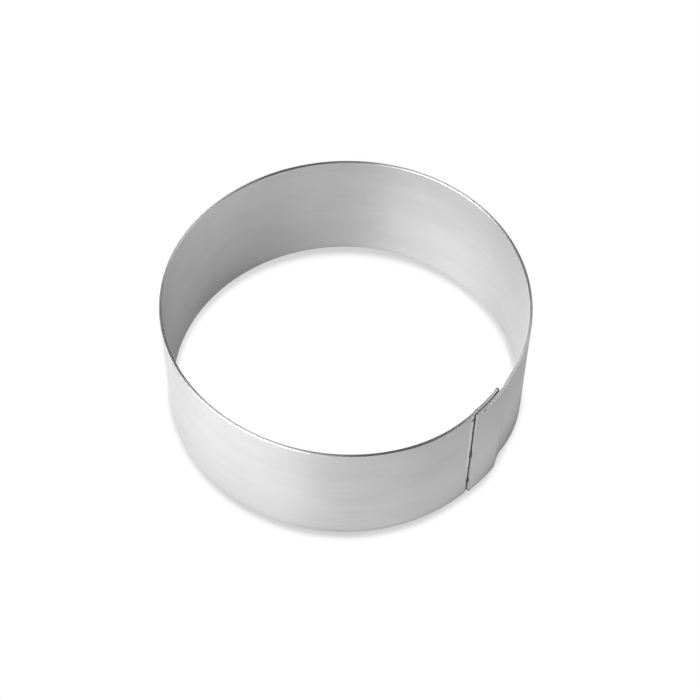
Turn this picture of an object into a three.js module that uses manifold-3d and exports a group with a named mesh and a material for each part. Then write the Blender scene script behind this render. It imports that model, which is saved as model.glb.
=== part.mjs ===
// Round pastry ring: one strip of stainless sheet rolled to a ring, with its ends lapped
// and held by three tack welds along the seam.
// Millimetres, +Z up. The origin is the centre of the ring on the surface that it stands on,
// and the lap is centred on +X.
import * as THREE from "three";
import { mergeVertices } from "three/addons/utils/BufferGeometryUtils.js";
import Module from "manifold-3d";

// Strip
const RING_DIAMETER = 80; // outside, away from the lap
const RING_HEIGHT = 30;
const SHEET = 0.7; // sheet thickness
const EDGE_RADIUS = 0.15; // deburred edges, all round the strip
const OUTER_END_CORNER = 0.2; // corner radius of the strip's outer end
const OUTER_END_TRIM = 0.5; // the base edge is trimmed up by this much at the outer end
const OUTER_END_RELIEF = 0.4 * SHEET; // rounding under the outer end, which clears the joggle
const INNER_END_CORNER = 0.6; // corner radius of the strip's inner end

// Lap: the outer end lies over the inner end
const LAP_LENGTH = 8.5; // overlap along the ring
const LAP_PROUD = 0.05; // the outer layer stands this far outside the round
const SEAM_GAP = 0.05; // between the layers where the outer end is cut
const TIP_GAP = 0.28; // between the layers where the inner end is cut

// Joggle: the strip eases inwards before the seam, and at the seam it steps down under the
// outer layer
const EASE_LENGTH_AT_BASE = 40;
const EASE_LENGTH_AT_TOP = 16;
const EASE_DROP_AT_BASE = 0.45;
const EASE_DROP_AT_TOP = 0.62;
const JOGGLE_LEAD = 0.45; // the step starts this far before the outer end
const JOGGLE_PAST = 0.2; // and ends this far past it

// Settle: just past the inner end, the outer layer folds inwards and slowly comes back
const SETTLE_FOLD = 0.5; // from the inner end to the fold
const SETTLE_DOWN = 3.9; // from the fold to the deepest line
const SETTLE_BACK = 12; // from there back to the round
const SETTLE_AT_BASE = 0.8;
const SETTLE_AT_TOP = 0.25;

// Tack welds: beads in the corner between the strip and the outer end
const TACK_WIDTH = 0.5; // along the ring
const TACK_RISE = 0.46; // outwards from the strip
const TACK_CLEARANCE = 0.05;
const LOWER_TACK_INSET = 4.8; // from the base rim to the bead's middle
const LOWER_TACK_LENGTH = 2.2;
const MIDDLE_TACK_LENGTH = 3.4;
const UPPER_TACK_INSET = 2.2; // from the top rim to the bead's middle
const UPPER_TACK_LENGTH = 1.4;

// Fineness of the facets
const ROUND_STEP = THREE.MathUtils.degToRad(2.5); // along the plain round
const LAP_STEP = 0.55; // along the lap, joggle and settle
const CORNER_STEPS = 4; // round each corner of the strip's ends
const EDGE_STEPS = 2; // round each deburred edge

const OUTER_RADIUS = RING_DIAMETER / 2;
const MID_RADIUS = OUTER_RADIUS - SHEET / 2;
const TURN = 2 * Math.PI * MID_RADIUS; // one turn along the middle of the sheet
const STRIP_LENGTH = TURN + LAP_LENGTH;
const SEAM_ANGLE = -LAP_LENGTH / 2 / MID_RADIUS;
const JOGGLE_START = TURN - JOGGLE_LEAD;
const JOGGLE_END = TURN + JOGGLE_PAST;

const { clamp, lerp, smoothstep } = THREE.MathUtils;

// A size that changes evenly from the base to the top.
function byHeight(atBase, atTop, z) {
  return lerp(atBase, atTop, z / RING_HEIGHT);
}

// Outward offset of the outer layer from the round, by the distance along the strip
// from its outer end and by height.
function outerOffset(along, z) {
  const fold = LAP_LENGTH + SETTLE_FOLD;
  const deepest = fold + SETTLE_DOWN;
  const down = clamp((along - fold) / SETTLE_DOWN, 0, 1);
  const back = clamp((along - deepest) / SETTLE_BACK, 0, 1);
  const settle = byHeight(SETTLE_AT_BASE, SETTLE_AT_TOP, z);
  const proud = LAP_PROUD * (1 - smoothstep(along, LAP_LENGTH, deepest));
  return proud - settle * Math.sin((Math.PI / 2) * down) * (1 - back) ** 2;
}

// How far the strip has eased inwards, by its distance before the seam and by height.
function easeDrop(before, z) {
  const length = byHeight(EASE_LENGTH_AT_BASE, EASE_LENGTH_AT_TOP, z);
  const near = clamp(1 - before / length, 0, 1);
  return byHeight(EASE_DROP_AT_BASE, EASE_DROP_AT_TOP, z) * near ** 2;
}

// Outward offset of the middle of the sheet from the round, over the whole strip.
function stripOffset(along, z) {
  const over = outerOffset(along, z) - easeDrop(TURN - along, z);
  const past = Math.max(0, along - TURN);
  const gap = lerp(SEAM_GAP, TIP_GAP, past / LAP_LENGTH);
  const under = outerOffset(past, z) - SHEET - gap;
  return lerp(over, under, smoothstep(along, JOGGLE_START, JOGGLE_END));
}

// A point of the sheet: distance along the strip, distance outwards from its middle, height.
function stripPoint(along, outwards, z) {
  const angle = SEAM_ANGLE + along / MID_RADIUS;
  const radius = MID_RADIUS + stripOffset(along, z) + outwards;
  return [radius * Math.cos(angle), radius * Math.sin(angle), z];
}

// How far a rounded corner of the given radius stands back, at a distance from the end.
function setback(distance, radius) {
  const short = Math.max(0, radius - distance);
  return radius - Math.sqrt(radius * radius - short * short);
}

// Distances from a strip's end to the sections that form its rounded corners.
function cornerStations(radius) {
  const stations = [];
  for (let k = 0; k <= CORNER_STEPS; k += 1) {
    stations.push(radius * (1 - Math.cos((Math.PI / 2) * (k / CORNER_STEPS))));
  }
  return stations;
}

// Distances along the strip of all its sections, finer round the lap.
function stripStations() {
  const fineStart = LAP_LENGTH + SETTLE_FOLD + SETTLE_DOWN + SETTLE_BACK;
  const fineEnd = JOGGLE_START - EASE_LENGTH_AT_TOP;
  const stations = [
    ...cornerStations(OUTER_END_CORNER),
    ...cornerStations(OUTER_END_RELIEF),
    ...cornerStations(EDGE_RADIUS),
    ...cornerStations(INNER_END_CORNER).map((distance) => STRIP_LENGTH - distance),
    ...cornerStations(EDGE_RADIUS).map((distance) => STRIP_LENGTH - distance),
  ];
  const spread = (from, to, step) => {
    const count = Math.max(1, Math.ceil((to - from) / step));
    for (let k = 0; k <= count; k += 1) {
      stations.push(lerp(from, to, k / count));
    }
  };
  spread(Math.max(OUTER_END_CORNER, OUTER_END_RELIEF, EDGE_RADIUS), fineStart, LAP_STEP);
  spread(fineStart, fineEnd, ROUND_STEP * MID_RADIUS);
  spread(fineEnd, JOGGLE_START, LAP_STEP);
  spread(JOGGLE_START, JOGGLE_END, LAP_STEP / 6);
  spread(JOGGLE_END, STRIP_LENGTH - Math.max(INNER_END_CORNER, EDGE_RADIUS), LAP_STEP);
  stations.sort((a, b) => a - b);
  const closest = EDGE_RADIUS / 20;
  return stations.filter((s, k) => k === 0 || s - stations[k - 1] > closest);
}

// Outline of the sheet's cross-section: a slim rectangle with deburred edges, as pairs of
// distance outwards from the middle and height.
function sectionOutline(thickness, low, high) {
  const x = thickness / 2 - EDGE_RADIUS;
  const corners = [
    [x, low + EDGE_RADIUS, -90],
    [x, high - EDGE_RADIUS, 0],
    [-x, high - EDGE_RADIUS, 90],
    [-x, low + EDGE_RADIUS, 180],
  ];
  const outline = [];
  for (const [centreX, centreZ, from] of corners) {
    for (let k = 0; k <= EDGE_STEPS; k += 1) {
      const turn = THREE.MathUtils.degToRad(from + (90 * k) / EDGE_STEPS);
      outline.push([
        centreX + EDGE_RADIUS * Math.cos(turn),
        centreZ + EDGE_RADIUS * Math.sin(turn),
      ]);
    }
  }
  return outline;
}

// The strip, lofted through its sections and closed at both cut ends.
function bandGeometry() {
  const positions = [];
  const indices = [];
  const stations = stripStations();
  const ring = 4 * (EDGE_STEPS + 1);
  for (const along of stations) {
    const toOuterEnd = along;
    const toInnerEnd = STRIP_LENGTH - along;
    const corner =
      setback(toOuterEnd, OUTER_END_CORNER) + setback(toInnerEnd, INNER_END_CORNER);
    const outerEdge = setback(Math.min(toOuterEnd, toInnerEnd), EDGE_RADIUS);
    const innerEdge = setback(toOuterEnd, OUTER_END_RELIEF) + setback(toInnerEnd, EDGE_RADIUS);
    const trim = OUTER_END_TRIM * (1 - smoothstep(toOuterEnd, 0, LAP_LENGTH));
    const outline = sectionOutline(SHEET, corner + trim, RING_HEIGHT - corner);
    for (const [outwards, z] of outline) {
      const edge = outwards > 0 ? outerEdge : innerEdge;
      positions.push(...stripPoint(along, outwards * (1 - (2 * edge) / SHEET), z));
    }
  }
  for (let s = 0; s < stations.length - 1; s += 1) {
    for (let k = 0; k < ring; k += 1) {
      const a = s * ring + k;
      const b = s * ring + ((k + 1) % ring);
      indices.push(a, a + ring, b, b, a + ring, b + ring);
    }
  }
  const last = (stations.length - 1) * ring;
  for (let k = 1; k < ring - 1; k += 1) {
    indices.push(0, k, k + 1);
    indices.push(last, last + k + 1, last + k);
  }
  const geometry = new THREE.BufferGeometry();
  geometry.setAttribute("position", new THREE.Float32BufferAttribute(positions, 3));
  geometry.setIndex(indices);
  geometry.computeVertexNormals();
  return geometry;
}

const wasm = await Module();
wasm.setup();

function toSolid(geometry) {
  geometry.deleteAttribute("normal");
  geometry.deleteAttribute("uv");
  const merged = mergeVertices(geometry);
  const mesh = new wasm.Mesh({
    numProp: 3,
    vertProperties: new Float32Array(merged.attributes.position.array),
    triVerts: new Uint32Array(merged.index.array),
  });
  return new wasm.Manifold(mesh);
}

function toGeometry(solid) {
  const mesh = solid.getMesh();
  const geometry = new THREE.BufferGeometry();
  geometry.setAttribute("position", new THREE.Float32BufferAttribute(mesh.vertProperties, 3));
  geometry.setIndex(Array.from(mesh.triVerts));
  geometry.computeVertexNormals();
  return geometry;
}

// A weld bead: the quarter of an ellipsoid that lies in the corner, outwards along +X and
// away from the outer end along -Y, with its length along Z.
function tackGeometry(length) {
  const bead = new THREE.SphereGeometry(1, 20, 12);
  bead.rotateX(Math.PI / 2);
  bead.scale(TACK_RISE, TACK_WIDTH, length / 2);
  const quarter = new THREE.BoxGeometry(2 * TACK_RISE, 2 * TACK_WIDTH, 2 * length);
  quarter.translate(TACK_RISE, -TACK_WIDTH, 0);
  return toGeometry(toSolid(bead).intersect(toSolid(quarter)));
}

const brushedSteel = new THREE.MeshStandardMaterial({
  name: "brushed_steel",
  color: 0xb4b5b5,
  roughness: 0.32,
  metalness: 1,
});
const scorchedSteel = new THREE.MeshStandardMaterial({
  name: "scorched_steel",
  color: 0x5d5a57,
  roughness: 0.6,
  metalness: 1,
});

const ring = new THREE.Group();

const band = new THREE.Mesh(bandGeometry(), brushedSteel);
band.name = "ring_band";
ring.add(band);

// The tack welds share a frame at the seam: X outwards, Y along the ring.
const seam = new THREE.Group();
seam.rotation.z = SEAM_ANGLE;
ring.add(seam);

const tacks = [
  ["tack_weld_lower", LOWER_TACK_INSET, LOWER_TACK_LENGTH],
  ["tack_weld_middle", RING_HEIGHT / 2, MIDDLE_TACK_LENGTH],
  ["tack_weld_upper", RING_HEIGHT - UPPER_TACK_INSET, UPPER_TACK_LENGTH],
];
for (const [name, height, length] of tacks) {
  const tack = new THREE.Mesh(tackGeometry(length), scorchedSteel);
  tack.name = name;
  const foot = OUTER_RADIUS - easeDrop(JOGGLE_LEAD, height) + TACK_CLEARANCE;
  tack.position.set(foot, -TACK_CLEARANCE, height);
  seam.add(tack);
}

export default ring;
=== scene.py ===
# %% [markdown]
# # A round pastry ring
#
# A pastry ring is a strip of stainless sheet, rolled to a circle, with its two ends lapped and held
# by a few tack welds. The packed CAD model gives its exact place and size, in metres, with the lap
# on +X and the ring standing on z = 0. This lesson keeps that frame and makes what CAD leaves out:
# a finer strip, welds that look melted, brushed metal, and the light of a small product studio.

# %% Load the packed model
import math

import bpy
from mathutils import Matrix, Vector


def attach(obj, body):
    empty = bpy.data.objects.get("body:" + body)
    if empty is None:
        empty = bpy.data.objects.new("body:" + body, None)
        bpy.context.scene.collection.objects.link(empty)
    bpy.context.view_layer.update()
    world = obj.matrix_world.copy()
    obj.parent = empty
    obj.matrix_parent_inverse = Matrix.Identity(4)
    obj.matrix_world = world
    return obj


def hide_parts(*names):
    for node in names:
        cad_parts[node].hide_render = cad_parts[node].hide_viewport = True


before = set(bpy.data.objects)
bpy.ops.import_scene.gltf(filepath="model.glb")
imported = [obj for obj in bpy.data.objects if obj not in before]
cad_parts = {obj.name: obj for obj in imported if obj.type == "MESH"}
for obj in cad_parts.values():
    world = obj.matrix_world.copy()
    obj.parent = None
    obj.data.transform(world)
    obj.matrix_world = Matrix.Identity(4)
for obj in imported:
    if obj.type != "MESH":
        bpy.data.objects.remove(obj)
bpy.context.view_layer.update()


print("CAD nodes:", sorted(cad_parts))

# %% [markdown]
# ## Camera
#
# A photograph of a circle tells where its camera stood: the upper and the lower rim are two
# ellipses, and their sizes and slants fix the height, the distance and the lens. The view could
# also be found by trial and error, but a fit on both rims is quicker and leaves no guesswork. The
# camera turns about the middle of the ring, and then pans, tilts and rolls by less than a degree,
# as a camera on a real tripod does.

# %% Camera
RING_HEIGHT = 0.030
RING_MIDDLE = Vector((0.0, 0.0, RING_HEIGHT / 2))
VIEW_AZIMUTH = math.radians(41.42)
VIEW_ELEVATION = math.radians(53.55)
VIEW_DISTANCE = 0.3686
CAMERA_PAN = math.radians(-0.131)
CAMERA_TILT = math.radians(-0.321)
CAMERA_ROLL = math.radians(0.928)
SENSOR_WIDTH = 36.0
FOCAL_LENGTH = 85.7
NEAREST = 0.01


def on_arm(azimuth, elevation, distance):
    """The end of an arm from the ring's middle, facing back along the arm."""
    swing = Matrix.Rotation(azimuth, 4, "Z")
    lean = Matrix.Rotation(math.pi / 2 - elevation, 4, "X")
    arm = Matrix.Translation((0.0, 0.0, distance))
    return Matrix.Translation(RING_MIDDLE) @ (swing @ lean) @ arm


camera = bpy.data.objects.new("camera", bpy.data.cameras.new("camera"))
camera.data.sensor_width = SENSOR_WIDTH
camera.data.lens = FOCAL_LENGTH
camera.data.clip_start = NEAREST
pan = Matrix.Rotation(CAMERA_PAN, 4, "Y")
tilt = Matrix.Rotation(CAMERA_TILT, 4, "X")
level = Matrix.Rotation(CAMERA_ROLL, 4, "Z")
camera.matrix_world = on_arm(VIEW_AZIMUTH, VIEW_ELEVATION, VIEW_DISTANCE) @ (pan @ tilt @ level)
bpy.context.scene.collection.objects.link(camera)
bpy.context.scene.camera = camera
print("camera at", [round(v, 4) for v in camera.matrix_world.translation])

# %% [markdown]
# ## Sums on wires
#
# Shader and Geometry Nodes do their sums in Math nodes, which are tiresome to add one at a time.
# This class holds one output of a node tree, and Python's own operators add the Math nodes, so a
# rule can be read as a formula. Every other kind of node comes from its one method `node`.

# %% Sums on wires
class Wire:
    """One output in a node tree. Arithmetic on wires adds Math nodes to that tree."""

    def __init__(self, tree, socket=None):
        self.tree = tree
        self.socket = socket

    def node(self, kind, settings=None, sockets=None, output=0):
        """Adds any node: first its settings, then the values or links of its sockets."""
        made = self.tree.nodes.new(kind)
        for name, value in (settings or {}).items():
            setattr(made, name, value)
        for name, value in (sockets or {}).items():
            if isinstance(value, Wire):
                self.tree.links.new(value.socket, made.inputs[name])
            else:
                made.inputs[name].default_value = value
        return Wire(self.tree, made.outputs[output] if made.outputs else None)

    def out(self, name):
        """Another output of the same node."""
        return Wire(self.tree, self.socket.node.outputs[name])

    def math(self, operation, *values):
        """A Math node on any values or wires."""
        return self.node("ShaderNodeMath", {"operation": operation}, dict(enumerate(values)))

    def __add__(self, other):
        return self.math("ADD", self, other)

    def __radd__(self, other):
        return self.math("ADD", other, self)

    def __sub__(self, other):
        return self.math("SUBTRACT", self, other)

    def __rsub__(self, other):
        return self.math("SUBTRACT", other, self)

    def __mul__(self, other):
        return self.math("MULTIPLY", self, other)

    def __rmul__(self, other):
        return self.math("MULTIPLY", other, self)

    def __truediv__(self, other):
        return self.math("DIVIDE", self, other)

    def __rtruediv__(self, other):
        return self.math("DIVIDE", other, self)

    def __neg__(self):
        return self.math("MULTIPLY", self, -1.0)

    def __gt__(self, other):
        return self.math("GREATER_THAN", self, other)

    def __lt__(self, other):
        return self.math("LESS_THAN", self, other)

    def cos(self):
        return self.math("COSINE", self)

    def sin(self):
        return self.math("SINE", self)

    def least(self, other):
        """The smaller of two."""
        return self.math("MINIMUM", self, other)

    def most(self, other):
        """The larger of two."""
        return self.math("MAXIMUM", self, other)

    def clamp(self):
        """Kept between 0 and 1."""
        return self.least(1.0).most(0.0)

    def ramp(self, start, end, low=0.0, high=1.0):
        """Eases from low to high as the wire goes from start to end, and stays level outside."""
        ends = {"Value": self, "From Min": start, "From Max": end, "To Min": low, "To Max": high}
        return self.node("ShaderNodeMapRange", {"interpolation_type": "SMOOTHSTEP"}, ends)

    def split(self):
        """The X, Y and Z of a vector."""
        parts = self.node("ShaderNodeSeparateXYZ", None, {"Vector": self})
        return parts, parts.out("Y"), parts.out("Z")


print("a wire knows", ", ".join(name for name in vars(Wire) if not name.startswith("_")))

# %% [markdown]
# ## Helpers for vectors, colours and noise
#
# A Math node knows only single numbers, and would turn a colour grey. Vectors, colours and noise
# come from nodes of their own, and each gets a short helper because it is used again and again. A
# last helper starts an empty material. A trial shows that a sum becomes a node.

# %% Helpers for vectors, colours and noise
def vector(x, y, z):
    """A vector of three parts, of which the first is a wire."""
    return x.node("ShaderNodeCombineXYZ", None, {"X": x, "Y": y, "Z": z})


def blend(factor, plain, full):
    """A colour that goes from plain to full with the factor. The Mix node's colours are 6 and 7."""
    return factor.node("ShaderNodeMix", {"data_type": "RGBA"}, {0: factor, 6: plain, 7: full}, 2)


def noise(where, detail=2.0):
    """Soft random values from 0 to 1, with lumps about one unit of the given vector wide."""
    sockets = {"Vector": where, "Scale": 1.0, "Detail": detail, "Roughness": 0.5}
    return where.node("ShaderNodeTexNoise", {"noise_dimensions": "3D"}, sockets)


def new_shader(name):
    """An empty material, and the wire that starts its node tree."""
    material = bpy.data.materials.new(name)
    material.use_nodes = True
    material.node_tree.nodes.clear()
    return material, Wire(material.node_tree)


trial, wire = new_shader("trial")
rest = 1 - wire.node("ShaderNodeTexNoise")
print("1 - noise adds a Math node that is set to", rest.socket.node.operation)
bpy.data.materials.remove(trial)

# %% [markdown]
# ## Contact shadow
#
# Where the ring stands, a thin shadow runs along its foot. A lamp's own shadow could give it, but on
# a floor that is to stay white it would wash out. Ambient occlusion measures how closed in a point
# of the floor is, and that is turned into a tone. In the photograph this shadow is narrow at the two
# sides of the ring, and wider in front, behind and inside, so its reach follows the place on the
# floor.

# %% Contact shadow
SHADOW_REACH = 0.0042
SHADOW_TONE = (0.62, 0.62, 0.62, 1.0)
WHITE = (1.0, 1.0, 1.0, 1.0)
WALL_MIDDLE = 0.0396
SIDE_REACH = 0.33
INNER_REACH = 0.22
INNER_DEPTH_REACH = 0.25
FOOT_LIGHT = 0.5
CORE_LIGHT = 0.08
EDGE_LIGHT = 0.34
SIDE_STRENGTH = 0.7

floor_material, wire = new_shader("studio_floor")
light = wire.node("ShaderNodeAmbientOcclusion", {"samples": 16}, {"Distance": SHADOW_REACH}, "AO")
floor_x, floor_y, _ = wire.node("ShaderNodeTexCoord").out("Object").split()
depth = floor_y * math.cos(VIEW_AZIMUTH) - floor_x * math.sin(VIEW_AZIMUTH)
far_out = floor_x * floor_x + floor_y * floor_y
front_back = depth * depth / far_out
indoors = far_out < WALL_MIDDLE ** 2
reach = SIDE_REACH + front_back * (1 - SIDE_REACH)
reach = reach + indoors * (INNER_REACH + front_back * INNER_DEPTH_REACH)
shadow = 1 - light.ramp(FOOT_LIGHT + reach * CORE_LIGHT, FOOT_LIGHT + reach * EDGE_LIGHT)
shadow = shadow * (SIDE_STRENGTH + front_back * (1 - SIDE_STRENGTH))
contact_tone = blend(shadow, WHITE, SHADOW_TONE)
print("contact shadow: at most", 1000 * SHADOW_REACH, "mm wide")

# %% [markdown]
# ## Cast shadow
#
# The main light also throws a long soft shadow across the paper. Such pictures have their paper
# whitened afterwards, but the metal still mirrors the paper as it was. So the cast shadow is a tone
# that only mirrored rays find. It could come from the lamps, which would grey the white floor too.
# Two discs are enough: outside the ring a dark one, shifted away from the light, and inside it the
# shade round the bright disc that shines in through the opening.

# %% Cast shadow
CAST_TONE = (0.32, 0.32, 0.32, 1.0)
CAST_OUTSIDE = {"middle": (0.0033, 0.0136), "bright_at": 0.048, "dark_at": 0.036}
CAST_INSIDE = {"middle": (-0.0007, 0.0300), "bright_at": 0.032, "dark_at": 0.047}
INSIDE_STRENGTH = 0.85


def round_shade(middle, bright_at, dark_at):
    """Shade round a point of the floor: none at one radius, and full at the other."""
    x = floor_x - middle[0]
    y = floor_y - middle[1]
    return (x * x + y * y).ramp(bright_at ** 2, dark_at ** 2)


rays = wire.node("ShaderNodeLightPath")
mirrored = rays.out("Is Glossy Ray") + rays.out("Is Transmission Ray")
cast = round_shade(**CAST_OUTSIDE) * mirrored * (1 - indoors)
cast = cast + round_shade(**CAST_INSIDE) * mirrored * indoors * INSIDE_STRENGTH
floor_tone = blend(cast, contact_tone, CAST_TONE)
print("floor tones:", len(floor_material.node_tree.nodes), "nodes")

# %% [markdown]
# ## Floor
#
# Product pictures stand on white. The floor could be lit until it burns out, but then the lamps
# would burn out the metal too. Instead, rays from the camera and rays mirrored by the metal see it
# glow at strength 1, which is plain white apart from the two shadows, and all other rays find white
# paper.

# %% Floor
FLOOR_HALF = 3.0
PAPER = (0.9, 0.9, 0.9, 1.0)

seen = (rays.out("Is Camera Ray") + mirrored).least(1.0)
paper = wire.node("ShaderNodeBsdfDiffuse", None, {"Color": PAPER})
glow = wire.node("ShaderNodeEmission", None, {"Color": floor_tone, "Strength": 1.0})
surface = wire.node("ShaderNodeMixShader", None, {0: seen, 1: paper, 2: glow})
wire.node("ShaderNodeOutputMaterial", None, {"Surface": surface})

floor_mesh = bpy.data.meshes.new("floor")
corners = [(-1, -1), (1, -1), (1, 1), (-1, 1)]
corners = [(FLOOR_HALF * x, FLOOR_HALF * y, 0.0) for x, y in corners]
floor_mesh.from_pydata(corners, [], [(0, 1, 2, 3)])
floor_mesh.materials.append(floor_material)
floor = bpy.data.objects.new("floor", floor_mesh)
bpy.context.scene.collection.objects.link(floor)
print("floor", 2 * FLOOR_HALF, "m wide")

# %% [markdown]
# ## Room
#
# Polished metal shows the room more than itself. One even dome of light would be simple, but it
# would make the ring look like paint. The world is dark, as a studio is, and pale only at the
# horizon, where the paper sweep goes up.

# %% Room
ROOM_GREY = 0.04
HORIZON_GREY = 0.5
SWEEP_FADE = (0.1, 0.22)

world = bpy.data.worlds.new("studio")
world.use_nodes = True
world.node_tree.nodes.clear()
wire = Wire(world.node_tree)
heading = wire.node("ShaderNodeTexCoord").out("Generated")
sky = heading.split()[2].ramp(*SWEEP_FADE, HORIZON_GREY, ROOM_GREY)
room = wire.node("ShaderNodeBackground", None, {"Color": WHITE, "Strength": sky})
wire.node("ShaderNodeOutputWorld", None, {"Surface": room})
bpy.context.scene.world = world
bpy.context.scene.view_settings.view_transform = "Standard"
print("room:", ROOM_GREY, "overhead and", HORIZON_GREY, "at the horizon")

# %% [markdown]
# ## Soft boxes
#
# In the photograph the walls that face front left are the brightest, so the largest soft box, the
# key, stands front left of the camera. Weaker boxes stand where the other walls look for their
# light. Two small, high ones light the flat rims, which flash on two opposite sides of the ring. A
# lamp's strength is given as the brightness that the metal mirrors, and its power follows from its
# area, so a box can be made larger without making it brighter.

# %% Soft boxes
BOX_DISTANCE = 0.45
SOFT_BOXES = {
    "key_box": {"turn": -58, "elevation": 43, "wide": 54, "tall": 34, "radiance": 3.85},
    "left_box": {"turn": -115, "elevation": 34, "wide": 40, "tall": 22, "radiance": 2.65},
    "back_box": {"turn": -149, "elevation": 30, "wide": 30, "tall": 26, "radiance": 2.2},
    "front_box": {"turn": 0, "elevation": 35, "wide": 50, "tall": 30, "radiance": 1.55},
    "right_box": {"turn": 52, "elevation": 20, "wide": 54, "tall": 36, "radiance": 0.55},
    "over_box": {"turn": -125, "elevation": 71, "wide": 28, "tall": 17, "radiance": 4.6},
    "side_box": {"turn": 100, "elevation": 28, "wide": 40, "tall": 26, "radiance": 0.5},
    "far_box": {"turn": 142, "elevation": 58, "wide": 22, "tall": 16, "radiance": 1.5},
}


def soft_box(name, turn, elevation, wide, tall, radiance):
    """A rectangular lamp that faces the ring. Angles in degrees, turned from the camera's side."""
    lamp = bpy.data.lights.new(name, "AREA")
    lamp.shape = "RECTANGLE"
    lamp.size = 2 * BOX_DISTANCE * math.tan(math.radians(wide) / 2)
    lamp.size_y = 2 * BOX_DISTANCE * math.tan(math.radians(tall) / 2)
    lamp.energy = radiance * math.pi * lamp.size * lamp.size_y
    box = bpy.data.objects.new(name, lamp)
    azimuth = VIEW_AZIMUTH + math.radians(turn)
    box.matrix_world = on_arm(azimuth, math.radians(elevation), BOX_DISTANCE)
    box.visible_camera = False
    bpy.context.scene.collection.objects.link(box)
    return box


for name, place in SOFT_BOXES.items():
    box = soft_box(name, **place)
    print(name, "at", [round(v, 3) for v in box.matrix_world.translation])

# %% [markdown]
# ## Brushed sheet
#
# The sheet was brushed lengthwise while it was flat, so its scratches run round the ring and its
# shine spreads up and down. An image could carry the grain, but noise stretched along the strip has
# no seam and no limit of sharpness. The strip keeps its flat place in an attribute called `strip`:
# X along it, Y through its thickness and Z up. The two faces have their own grain, because the noise
# also moves on through the thickness.

# %% Grain of the sheet
RING_RADIUS = 0.040
SHEET = 0.0007
LAP_LENGTH = 0.0085
SEAM_AT = 2 * math.pi * (RING_RADIUS - SHEET / 2)
STRIP_LENGTH = SEAM_AT + LAP_LENGTH
STEEL = (0.69, 0.69, 0.69, 1.0)
DULL_STEEL = (0.64, 0.64, 0.64, 1.0)
FACES_APART = 7.0
FINE_SHARE = 0.4
LONG_SHARE = 0.15
PATCH_SHARE = 0.45
NOISE_RANGE = (0.35, 0.65)
NOISE_MEAN = 0.5

sheet_material, wire = new_shader("brushed_sheet")
strip = wire.node("ShaderNodeAttribute", {"attribute_name": "strip"}).out("Vector")
along, through, up = strip.split()
side = through / SHEET * FACES_APART


def streaks(length, height, shift, detail):
    """Noise in streaks of a length along the strip and a height up it."""
    return noise(vector(along / length, side + shift, up / height), detail)


fine_grain = streaks(length=0.020, height=0.00016, shift=0.0, detail=3.0)
long_grain = streaks(length=0.045, height=0.0007, shift=3.0, detail=3.0)
patches = streaks(length=0.016, height=0.006, shift=9.0, detail=2.0)
grain = fine_grain * FINE_SHARE + long_grain * LONG_SHARE + patches * PATCH_SHARE
brushed = blend(grain.ramp(*NOISE_RANGE), DULL_STEEL, STEEL)
print("flat strip:", round(1000 * STRIP_LENGTH, 1), "mm long")

# %% [markdown]
# ## Marks of the seam
#
# The marks of the seam are partly real and partly painted light. The cut ends of the strip are
# rougher than its faces. A band beside the seam is a painted highlight, the base corner of the outer
# end gets painted shade, a stroke of painted shade crosses the top rim from the corner of the outer
# end, and the two faces that meet between the layers are painted dark as shade, which draws the gap
# as a dark line. Each mark is a mask on the flat strip, where its place can simply be measured from
# an end. A pair of numbers says where a mask is 0 and where it is 1.

# %% Marks of the seam
CUT_STEEL = (0.62, 0.62, 0.62, 1.0)
# Painted highlight: the pale colour of a band just before the seam.
HIGHLIGHT_STEEL = (0.82, 0.82, 0.82, 1.0)
# Painted shade: the dark tone of the gap between the layers, the base corner and the rim stroke.
PAINTED_SHADE = (0.06, 0.06, 0.06, 1.0)
CUT_FADE = (0.00018, 0.00006)
HIGHLIGHT_NEAR = (0.0001, 0.0003)
HIGHLIGHT_FAR = (0.0013, 0.0009)
HIGHLIGHT_UP = (0.008, 0.012)
LAP_FROM = (0.0003, 0.0007)
LAP_TO = (0.0003, 0.001)
# Painted shade in the base corner of the outer end: how far along, and how far up.
CORNER_SHADE_ALONG = (0.0006, 0.0002)
CORNER_SHADE_UP = (0.0013, 0.0008)
# Painted shade: a thin stroke across the top rim from the corner of the outer end.
STROKE_START = 0.0003
STROKE_SLOPE = 0.28
STROKE_WIDTH = (0.0002, 0.0001)
STROKE_ALONG = (0.0028, 0.0022)
STROKE_DOWN = (0.0006, 0.0003)
STROKE_STRENGTH = 0.9

end_gap = along.least(STRIP_LENGTH - along)
top_gap = RING_HEIGHT - up
before_seam = SEAM_AT - along
cut = end_gap.ramp(*CUT_FADE)
# Painted highlight: a band just before the seam on the outer face, from about a centimetre up.
seam_highlight = before_seam.ramp(*HIGHLIGHT_NEAR) * before_seam.ramp(*HIGHLIGHT_FAR)
seam_highlight = seam_highlight * up.ramp(*HIGHLIGHT_UP) * (through > 0.0)
# Painted shade on the two faces that meet in the gap between the layers, drawn as a dark line.
inner_layer_shade = (along - SEAM_AT).ramp(*LAP_FROM) * (through > 0.0) * (1 - cut)
outer_layer_shade = along.ramp(*LAP_FROM) * (LAP_LENGTH - along).ramp(*LAP_TO) * (through < 0.0)
# Painted shade in the base corner of the outer end.
base_corner_shade = along.ramp(*CORNER_SHADE_ALONG) * up.ramp(*CORNER_SHADE_UP)
# Painted shade in a thin slanting stroke across the top rim, near the outer end.
off_stroke = through + STROKE_START - along * STROKE_SLOPE
rim_stroke_shade = (off_stroke * off_stroke).ramp(STROKE_WIDTH[0] ** 2, STROKE_WIDTH[1] ** 2)
rim_stroke_shade = rim_stroke_shade * along.ramp(*STROKE_ALONG) * top_gap.ramp(*STROKE_DOWN) * STROKE_STRENGTH
# The painted highlight lightens the brushed colour beside the seam.
highlighted = blend(seam_highlight, brushed, HIGHLIGHT_STEEL)
bare = blend(cut, highlighted, CUT_STEEL)
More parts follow.
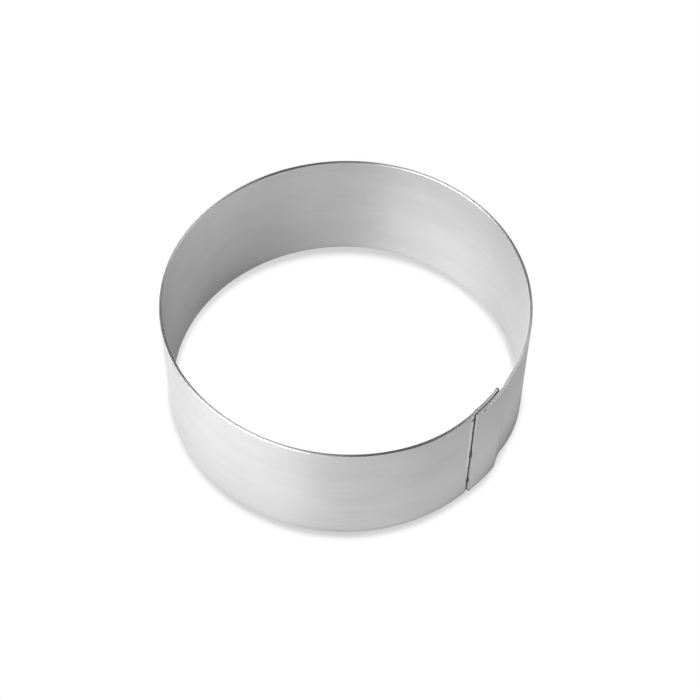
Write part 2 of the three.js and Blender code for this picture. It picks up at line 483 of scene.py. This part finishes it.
# All the painted shade darkens the colour towards one dark tone.
colour = blend((inner_layer_shade + outer_layer_shade + base_corner_shade + rim_stroke_shade).clamp(), bare, PAINTED_SHADE)
print("marks of the seam:", len(sheet_material.node_tree.nodes), "nodes so far")

# %% [markdown]
# ## Shine of the sheet
#
# Brushed metal spreads its highlights across the scratches. Thousands of fine ridges would do that
# too, but they would never render without noise, so the shader's anisotropy does it: Blender's own
# tangent already runs round Z, as the scratches do. The two faces differ in roughness from the base
# to the top, as the photograph's walls do. The sheared rims are brighter and smoother than both, so
# they have a shader of their own.

# %% Shine of the sheet
EDGE_STEEL = (0.75, 0.75, 0.75, 1.0)
INSIDE_FADE = (0.0, -0.0001)
RIM_FADE = (0.00013, 0.0001)
RIM_FROM_END = (0.0002, 0.0006)
EDGE_STREAK = 0.012
GRAIN_ROUGHNESS = 0.06
CUT_ROUGHNESS = 0.2
EDGE_ROUGHNESS = 0.3
EDGE_GRAIN_ROUGHNESS = 0.04
QUARTER_TURN = 0.25


def rising(at_base, at_top):
    """A value that changes evenly from the base to the top."""
    return at_base + up * ((at_top - at_base) / RING_HEIGHT)


inside = through.ramp(*INSIDE_FADE)
outer_roughness = rising(at_base=0.49, at_top=0.62)
inner_roughness = rising(at_base=0.68, at_top=0.48)
roughness = outer_roughness + (inner_roughness - outer_roughness) * inside
roughness = roughness + (fine_grain - NOISE_MEAN) * GRAIN_ROUGHNESS + cut * CUT_ROUGHNESS
ridges = {"Strength": 0.12, "Distance": 0.00003, "Height": fine_grain}
face = {
    "Base Color": colour,
    "Metallic": 1.0,
    "Roughness": roughness,
    "Anisotropic": 0.9,
    "Anisotropic Rotation": QUARTER_TURN,
    "Normal": wire.node("ShaderNodeBump", None, ridges),
}
face = wire.node("ShaderNodeBsdfPrincipled", None, face)
edge_grain = noise(vector(along / EDGE_STREAK, 0.0, 0.0))
edge = {
    "Base Color": EDGE_STEEL,
    "Metallic": 1.0,
    "Roughness": EDGE_ROUGHNESS + (edge_grain - NOISE_MEAN) * EDGE_GRAIN_ROUGHNESS,
    "Anisotropic": 0.89,
    "Anisotropic Rotation": QUARTER_TURN,
}
edge = wire.node("ShaderNodeBsdfPrincipled", None, edge)
rim = up.least(top_gap).ramp(*RIM_FADE) * end_gap.ramp(*RIM_FROM_END)
steel = wire.node("ShaderNodeMixShader", None, {0: rim, 1: face, 2: edge})
wire.node("ShaderNodeOutputMaterial", None, {"Surface": steel})
print("brushed sheet:", len(sheet_material.node_tree.nodes), "nodes")

# %% [markdown]
# ## Strip
#
# The ring is one strip, and its shape follows a rule: it is swept flat, and then rolled round so
# that the outer end lies over the inner one. A circle with thickness would be quicker, but it has
# no ends to lap. Geometry Nodes can do just what the maker does. A rounded section is swept along a
# straight line, its flat place is stored, and one Set Position rolls it. Most of the sizes are those
# of the CAD model. The rims' crown and lean and the top's sway and lobes are too small for it, and
# the seam's gap is a little wider, so that its line shows.

# %% Tree of the strip
STRIP_SIZES = {
    "Ring diameter": 2 * RING_RADIUS,
    "Ring height": RING_HEIGHT,
    "Sheet": SHEET,
    "Edge radius": 0.00015,
    "Rim flat": 0.0001,
    "Rim crown": 0.00009,
    "Rim lean": 0.08,
    "Top sway": 0.0001,
    "Top lobes": 0.0002,
    "Lobe turn": math.radians(97),
    "Outer end corner": 0.0002,
    "Outer end trim": 0.0005,
    "Outer end relief": 0.4 * SHEET,
    "Inner end corner": 0.0006,
    "Lap length": LAP_LENGTH,
    "Lap proud": 0.00005,
    "Seam gap": 0.00007,
    "Tip gap": 0.00028,
    "Ease length at base": 0.040,
    "Ease length at top": 0.016,
    "Ease drop at base": 0.00045,
    "Ease drop at top": 0.00062,
    "Joggle lead": 0.00045,
    "Joggle past": 0.0002,
    "Settle fold": 0.0005,
    "Settle down": 0.0039,
    "Settle back": 0.012,
    "Settle at base": 0.0008,
    "Settle at top": 0.00025,
}


def new_tree(name, sizes):
    """A Geometry Nodes tree with a named input for each size, as a dictionary of wires."""
    tree = bpy.data.node_groups.new(name, "GeometryNodeTree")
    tree.interface.new_socket("Geometry", in_out="OUTPUT", socket_type="NodeSocketGeometry")
    for size in sizes:
        tree.interface.new_socket(size, in_out="INPUT", socket_type="NodeSocketFloat")
    start = Wire(tree)
    first = start.node("NodeGroupInput")
    return tree, start, {size: first.out(size) for size in sizes}


strip_tree, wire, size = new_tree("rolled_strip", STRIP_SIZES)
mid_radius = size["Ring diameter"] / 2 - size["Sheet"] / 2
turn = mid_radius * (2 * math.pi)
strip_length = turn + size["Lap length"]
print("strip tree:", len(STRIP_SIZES), "inputs")

# %% [markdown]
# ## Section of the strip
#
# Sheared and deburred sheet has a rim that is slightly crowned and leans a little. A bevel on a
# plain box would round it the same on both sides. Here the points of a circle are moved instead:
# each quarter of them becomes one corner, and the first and last point of a quarter lead into the
# straight sides, so that the smooth shading of the bend doesn't spill over them.

# %% Section of the strip
CORNER_POINTS = 10
RIGHT_ANGLE = math.pi / 2

index = wire.node("GeometryNodeInputIndex")
corner = index / CORNER_POINTS
corner = corner.math("FLOOR", corner)
step = index - corner * CORNER_POINTS
bend = {"Value": step, "From Min": 1.0, "From Max": CORNER_POINTS - 2.0}
bend = wire.node("ShaderNodeMapRange", None, bend)
angle = (corner + bend) * RIGHT_ANGLE
facing = (corner + 0.5) * RIGHT_ANGLE
lead = (step > CORNER_POINTS - 1.5) + (step > 0.5) - 1
across = angle.cos()
upward = angle.sin()
flat_half = size["Rim flat"] / 2
bend_height = size["Ring height"] / 2 - size["Rim crown"]
centre_x = facing.math("SIGN", facing.cos()) * flat_half
centre_y = facing.math("SIGN", facing.sin()) * bend_height
section_x = centre_x + across * (size["Sheet"] / 2 - flat_half) - lead * upward * flat_half / 2
rise = upward * size["Rim crown"] + section_x * upward * size["Rim lean"]
section_y = centre_y + rise + lead * across * size["Edge radius"] / 2
loop = wire.node("GeometryNodeCurvePrimitiveCircle", None, {"Resolution": 4 * CORNER_POINTS})
section = {"Geometry": loop, "Position": vector(section_x, section_y, 0.0)}
section = wire.node("GeometryNodeSetPosition", None, section)
print("section:", 4 * CORNER_POINTS, "points")

# %% [markdown]
# ## Sweep and ends
#
# The section is swept along a line of even steps, and then the steps are drawn towards the two ends,
# where the lap needs them most. The ends of the real strip have rounded corners and rounded edges,
# and the base edge is trimmed up at the outer end. A bevel would need its own weight on each of those
# edges, so the strip is instead made lower and thinner near its ends by the rule of a quarter circle.

# %% Sweep and ends
STATIONS = 1000
EVEN_SHARE = 0.05

line = wire.node("GeometryNodeCurvePrimitiveLine", None, {"End": vector(strip_length, 0.0, 0.0)})
line = wire.node("GeometryNodeResampleCurve", None, {"Curve": line, "Count": STATIONS})
flat = {"Curve": line, "Profile Curve": section, "Fill Caps": True}
flat = wire.node("GeometryNodeCurveToMesh", None, flat)
x, y, z = wire.node("GeometryNodeInputPosition").split()
share = x / strip_length
eased = 0.5 - (share * math.pi).cos() / 2
distance = strip_length * (share * EVEN_SHARE + eased * (1 - EVEN_SHARE))
to_end = strip_length - distance


def set_back(gap, radius):
    """How far a rounded corner stands back, at a distance from the strip's end."""
    short = (radius - gap).most(0.0)
    return radius - gap.math("SQRT", radius * radius - short * short)


top_drop = set_back(distance, size["Outer end corner"]) + set_back(to_end, size["Inner end corner"])
base_rise = top_drop + size["Outer end trim"] * (1 - distance.ramp(0.0, size["Lap length"]))
outer_edge = set_back(distance.least(to_end), size["Edge radius"])
inner_edge = set_back(distance, size["Outer end relief"]) + set_back(to_end, size["Edge radius"])
narrow = inner_edge + (outer_edge - inner_edge) * (-y > 0.0)
outward = -y * (1 - narrow * 2 / size["Sheet"])
height = size["Ring height"] / 2 + z + base_rise - (z > 0.0) * (base_rise + top_drop)
print("sweep:", STATIONS, "stations")

# %% [markdown]
# ## Lap
#
# The outer end lies over the inner one, so the strip eases inwards before the seam and steps down
# under the outer end, which sheet workers call a joggle. Past the inner end the outer layer folds
# inwards and slowly comes back to the round. Two modelled layers could be pushed together by hand,
# but all of this is only an offset in the radius, given by the same rules as in the CAD model.

# %% Lap
def by_height(low, high):
    """A size that changes evenly from the base to the top."""
    return size[low] + (size[high] - size[low]) * height / size["Ring height"]


def outer_offset(at):
    """Outward offset of the outer layer, at a distance from the strip's outer end."""
    fold = size["Lap length"] + size["Settle fold"]
    deepest = fold + size["Settle down"]
    down = ((at - fold) / size["Settle down"]).clamp()
    back = 1 - ((at - deepest) / size["Settle back"]).clamp()
    proud = size["Lap proud"] * (1 - at.ramp(size["Lap length"], deepest))
    settle = by_height("Settle at base", "Settle at top")
    return proud - settle * (down * RIGHT_ANGLE).sin() * back * back


ease_length = by_height("Ease length at base", "Ease length at top")
easing = (1 - (turn - distance) / ease_length).clamp()
ease = by_height("Ease drop at base", "Ease drop at top") * easing * easing
over = outer_offset(distance) - ease
past = (distance - turn).most(0.0)
gap = size["Seam gap"] + (size["Tip gap"] - size["Seam gap"]) * past / size["Lap length"]
under = outer_offset(past) - size["Sheet"] - gap
joggle = distance.ramp(turn - size["Joggle lead"], turn + size["Joggle past"])
offset = over + (under - over) * joggle
print("lap:", len(strip_tree.nodes), "nodes so far")

# %% [markdown]
# ## Roll
#
# Three rollers bend such a strip, and it springs back a little, so a ring is never quite round. This
# one has three faint lobes at its free top, which also sways to one side: a tenth or two of a
# millimetre, which shows only in the line of the rim. A lattice could bend a finished ring, but here
# each is only one more term in the sum. The flat place is stored before the roll, for the material.

# %% Roll
LOBES = 3


def close_tree(shape, material):
    """Ends a tree: smooth shading, real geometry, the material and the output."""
    shape = shape.node("GeometryNodeSetShadeSmooth", None, {"Geometry": shape})
    shape = shape.node("GeometryNodeRealizeInstances", None, {"Geometry": shape})
    shape = shape.node("GeometryNodeSetMaterial", None, {"Geometry": shape, "Material": material})
    shape.node("NodeGroupOutput", None, {"Geometry": shape})


roll = distance / mid_radius - size["Lap length"] / mid_radius / 2
flexed = height / size["Ring height"]
lobes = size["Top lobes"] * ((roll - size["Lobe turn"]) * LOBES).cos() * flexed
radius = mid_radius + offset + outward + lobes
sway = size["Top sway"] * flexed
rolled_x = radius * roll.cos() - sway * math.cos(VIEW_AZIMUTH)
rolled_y = radius * roll.sin() - sway * math.sin(VIEW_AZIMUTH)
stored = {"Geometry": flat, "Name": "strip", "Value": vector(distance, outward, height)}
kind = {"data_type": "FLOAT_VECTOR", "domain": "POINT"}
flat = wire.node("GeometryNodeStoreNamedAttribute", kind, stored)
rolled = {"Geometry": flat, "Position": vector(rolled_x, rolled_y, height)}
close_tree(wire.node("GeometryNodeSetPosition", None, rolled), sheet_material)
print("strip tree:", len(strip_tree.nodes), "nodes")

# %% [markdown]
# ## From tree to mesh
#
# The tree runs as a modifier on an empty mesh. Each size goes to its input by the input's
# identifier, and the result is kept as a plain mesh. The modifier could stay live, but the finished
# ring keeps no modifiers.

# %% From tree to mesh
def grow(name, tree, sizes):
    """Runs a tree once with the given sizes, and returns its result as a plain mesh object."""
    piece = bpy.data.objects.new(name, bpy.data.meshes.new(name + "_start"))
    bpy.context.scene.collection.objects.link(piece)
    modifier = piece.modifiers.new(name, "NODES")
    modifier.node_group = tree
    for item in tree.interface.items_tree:
        if item.item_type == "SOCKET" and item.in_out == "INPUT":
            modifier[item.identifier] = sizes[item.name]
    graph = bpy.context.evaluated_depsgraph_get()
    grown = bpy.data.meshes.new_from_object(piece.evaluated_get(graph))
    piece.modifiers.clear()
    piece.data = grown
    grown.name = name
    return piece


ring = grow("rolled_band", strip_tree, STRIP_SIZES)
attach(ring, "root")
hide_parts("ring_band")
print("rolled band:", len(ring.data.polygons), "faces")

# %% [markdown]
# ## Weld metal
#
# The heat of a weld leaves its surface dark, dull and blotched. One dark grey would look like paint,
# so noise of about a third of a millimetre mixes two tones and changes the roughness with them.

# %% Weld metal
COOL_WELD = (0.13, 0.125, 0.12, 1.0)
DARK_WELD = (0.045, 0.042, 0.04, 1.0)
BLOTCHES_PER_METRE = 3000.0
WELD_ROUGHNESS = 0.45
BLOTCH_ROUGHNESS = 0.2

weld_material, wire = new_shader("scorched_weld")
spot = wire.node("ShaderNodeTexCoord").out("Object")
spot = {0: spot, "Scale": BLOTCHES_PER_METRE}
blotch = noise(wire.node("ShaderNodeVectorMath", {"operation": "SCALE"}, spot))
weld = {
    "Base Color": blend(blotch.ramp(*NOISE_RANGE), DARK_WELD, COOL_WELD),
    "Metallic": 0.8,
    "Roughness": WELD_ROUGHNESS + blotch * BLOTCH_ROUGHNESS,
}
weld = wire.node("ShaderNodeBsdfPrincipled", None, weld)
wire.node("ShaderNodeOutputMaterial", None, {"Surface": weld})
print("weld metal:", len(weld_material.node_tree.nodes), "nodes")

# %% [markdown]
# ## Tack welds
#
# A tack weld is a small pool of metal that froze in the groove between the strip and the outer end,
# and it is never smooth. Sculpting three of them would be slow to change. Here one tree grows a bead
# from a ball: seeded noise makes it lumpy, and the halves that lie in the metal are pressed flat.
# The same tree gives all three, each with its own sizes and seed.

# %% Tree of a tack weld
FOOT_DEPTH = 0.0005
TACK_SIZES = {
    "Radius at foot": RING_RADIUS - FOOT_DEPTH,
    "Seam angle": -LAP_LENGTH / (2 * RING_RADIUS - SHEET),
    "Rise": 0.00042,
    "Width": 0.00055,
    "Length": 0.0034,
    "Height": RING_HEIGHT / 2,
    "Lumps": 0.5,
    "Seed": 1.0,
}
BURIED = 0.25
LUMPS_ACROSS = 1.6
LUMPS_ALONG = 3.0
SEEDS_APART = 7.0

tack_tree, wire, size = new_tree("tack_weld", TACK_SIZES)
ball = wire.node("GeometryNodeMeshIcoSphere", None, {"Radius": 1.0, "Subdivisions": 5})
x, y, z = wire.node("GeometryNodeInputPosition").split()
seeded_x = x * LUMPS_ACROSS + size["Seed"] * SEEDS_APART
lump = noise(vector(seeded_x, y * LUMPS_ACROSS, z * LUMPS_ALONG), detail=3.0) - NOISE_MEAN
swell = 1 + lump * size["Lumps"]


def bury(part):
    """Presses the half of the ball below zero nearly flat."""
    return part.most(0.0) + BURIED * part.least(0.0)


outwards = size["Radius at foot"] + bury(x * swell) * size["Rise"]
along_ring = -bury(-y * swell) * size["Width"]
seam_cos = size["Seam angle"].cos()
seam_sin = size["Seam angle"].sin()
bead_x = outwards * seam_cos - along_ring * seam_sin
bead_y = outwards * seam_sin + along_ring * seam_cos
bead_z = size["Height"] + z * swell * size["Length"] / 2
bead = {"Geometry": ball, "Position": vector(bead_x, bead_y, bead_z)}
close_tree(wire.node("GeometryNodeSetPosition", None, bead), weld_material)
print("tack weld tree:", len(tack_tree.nodes), "nodes")

# %% [markdown]
# ## Three tack welds
#
# The lower and the middle weld are beads along the seam. The upper one is only a short flat mark
# that runs along the ring, just under the top rim. A list of what differs is all that each needs.

# %% Three tack welds
UPPER_DROP = 0.0016
TACKS = {
    "tack_weld_lower": {"Length": 0.0022, "Height": 0.0048, "Seed": 1.0},
    "tack_weld_middle": {"Length": 0.0034, "Height": RING_HEIGHT / 2, "Seed": 2.0},
    "tack_weld_upper": {
        "Length": 0.0005,
        "Width": 0.0012,
        "Rise": 0.00014,
        "Height": RING_HEIGHT - UPPER_DROP,
        "Seed": 3.0,
    },
}
for node, sizes in TACKS.items():
    tack = grow(node.replace("tack_weld", "tack"), tack_tree, TACK_SIZES | sizes)
    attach(tack, "root")
    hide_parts(node)
    print(tack.name, len(tack.data.polygons), "faces")

# %% [markdown]
# ## Size
#
# The dressed ring keeps the size of the CAD model, and a glance at a render doesn't show that.
